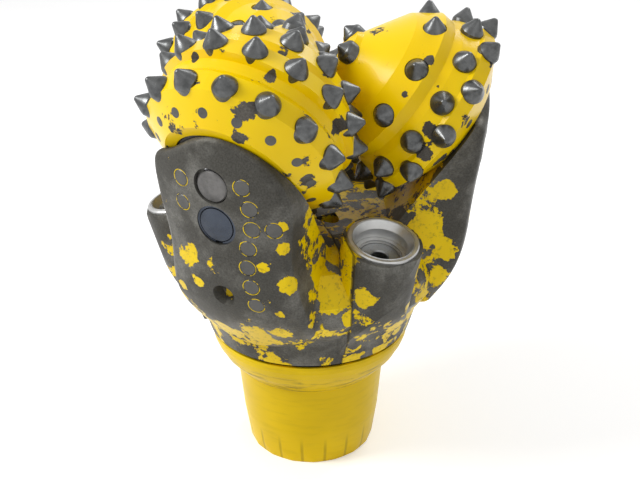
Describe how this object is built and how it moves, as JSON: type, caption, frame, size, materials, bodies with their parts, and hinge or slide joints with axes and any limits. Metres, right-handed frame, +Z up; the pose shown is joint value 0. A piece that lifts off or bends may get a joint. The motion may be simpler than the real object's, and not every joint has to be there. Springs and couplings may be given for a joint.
{
  "type": "three-cone rock drill bit",
  "caption": "Rotary rock bit with three rolling cones of conical carbide inserts, jet nozzles and a taper-threaded pin under a plastic protector, standing cones up.",
  "frame": {"origin": "centre of the thread protector's bottom face, which the bit stands on", "axes": "+Z up along the bit's axis from the pin to the cones; leg 1 faces -Y, and legs 2 and 3 follow at 120 degree steps counter-clockwise seen from above"},
  "size_m": [0.3359, 0.3271, 0.466],
  "materials": {
    "protector_plastic": "satin moulded plastic",
    "body_paint": "worn gloss paint, chipped to dark steel",
    "cone_paint": "gloss paint with chips",
    "carbide": "satin sintered carbide",
    "bearing_steel": "ground and polished",
    "weld_steel": "dressed weld, scratched",
    "plain_steel": "dull blued steel",
    "seal_rubber": "matte",
    "machined_steel": "machined",
    "nozzle_carbide": "ground carbide",
    "bronze": "turned bronze"
  },
  "bodies": {
    "bit_body": {"ball_plug_1": "bearing_steel", "ball_plug_2": "bearing_steel", "ball_plug_3": "bearing_steel", "bearing_balls_1": "bearing_steel", "bearing_balls_2": "bearing_steel", "bearing_balls_3": "bearing_steel", "leg_1": "body_paint", "leg_2": "body_paint", "leg_3": "body_paint", "leg_buttons_1": "carbide", "leg_buttons_2": "carbide", "leg_buttons_3": "carbide", "nozzle_1": "nozzle_carbide", "nozzle_2": "nozzle_carbide", "nozzle_3": "nozzle_carbide", "nozzle_seals": "seal_rubber", "nozzle_sleeve_1": "machined_steel", "nozzle_sleeve_2": "machined_steel", "nozzle_sleeve_3": "machined_steel", "nozzle_snap_rings": "machined_steel", "plug_weld_1": "weld_steel", "plug_weld_2": "weld_steel", "plug_weld_3": "weld_steel", "reservoir_can_1": "plain_steel", "reservoir_can_2": "plain_steel", "reservoir_can_3": "plain_steel", "reservoir_cap_1": "plain_steel", "reservoir_cap_2": "plain_steel", "reservoir_cap_3": "plain_steel", "reservoir_diaphragm_1": "seal_rubber", "reservoir_diaphragm_2": "seal_rubber", "reservoir_diaphragm_3": "seal_rubber", "reservoir_snap_rings": "machined_steel"},
    "protector": {"thread_protector": "protector_plastic"},
    "cone_1": {"cone_shell_1": "cone_paint", "heel_inserts_1": "carbide", "inner_inserts_1": "carbide", "gauge_buttons_1": "carbide", "bearing_bushing_1": "bronze", "thrust_washer_1": "bronze", "shaft_seal_1": "seal_rubber"},
    "cone_2": {"cone_shell_2": "cone_paint", "heel_inserts_2": "carbide", "inner_inserts_2": "carbide", "gauge_buttons_2": "carbide", "bearing_bushing_2": "bronze", "thrust_washer_2": "bronze", "shaft_seal_2": "seal_rubber"},
    "cone_3": {"cone_shell_3": "cone_paint", "heel_inserts_3": "carbide", "inner_inserts_3": "carbide", "gauge_buttons_3": "carbide", "bearing_bushing_3": "bronze", "thrust_washer_3": "bronze", "shaft_seal_3": "seal_rubber"}
  },
  "joints": [
    {"name": "cone_1_spin", "type": "hinge", "parent": "bit_body", "child": "cone_1", "pos_m": [0, 0, 0.44], "axis": [0, 0.809, 0.5878], "continuous": true},
    {"name": "cone_2_spin", "type": "hinge", "parent": "bit_body", "child": "cone_2", "pos_m": [0, 0, 0.44], "axis": [-0.7006, -0.4045, 0.5878], "continuous": true},
    {"name": "cone_3_spin", "type": "hinge", "parent": "bit_body", "child": "cone_3", "pos_m": [0, 0, 0.44], "axis": [0.7006, -0.4045, 0.5878], "continuous": true},
    {"name": "protector_unscrew", "type": "hinge", "parent": "bit_body", "child": "protector", "pos_m": [0, 0, 0], "axis": [0, 0, -1], "range_deg": [0, 1980]}
  ]
}
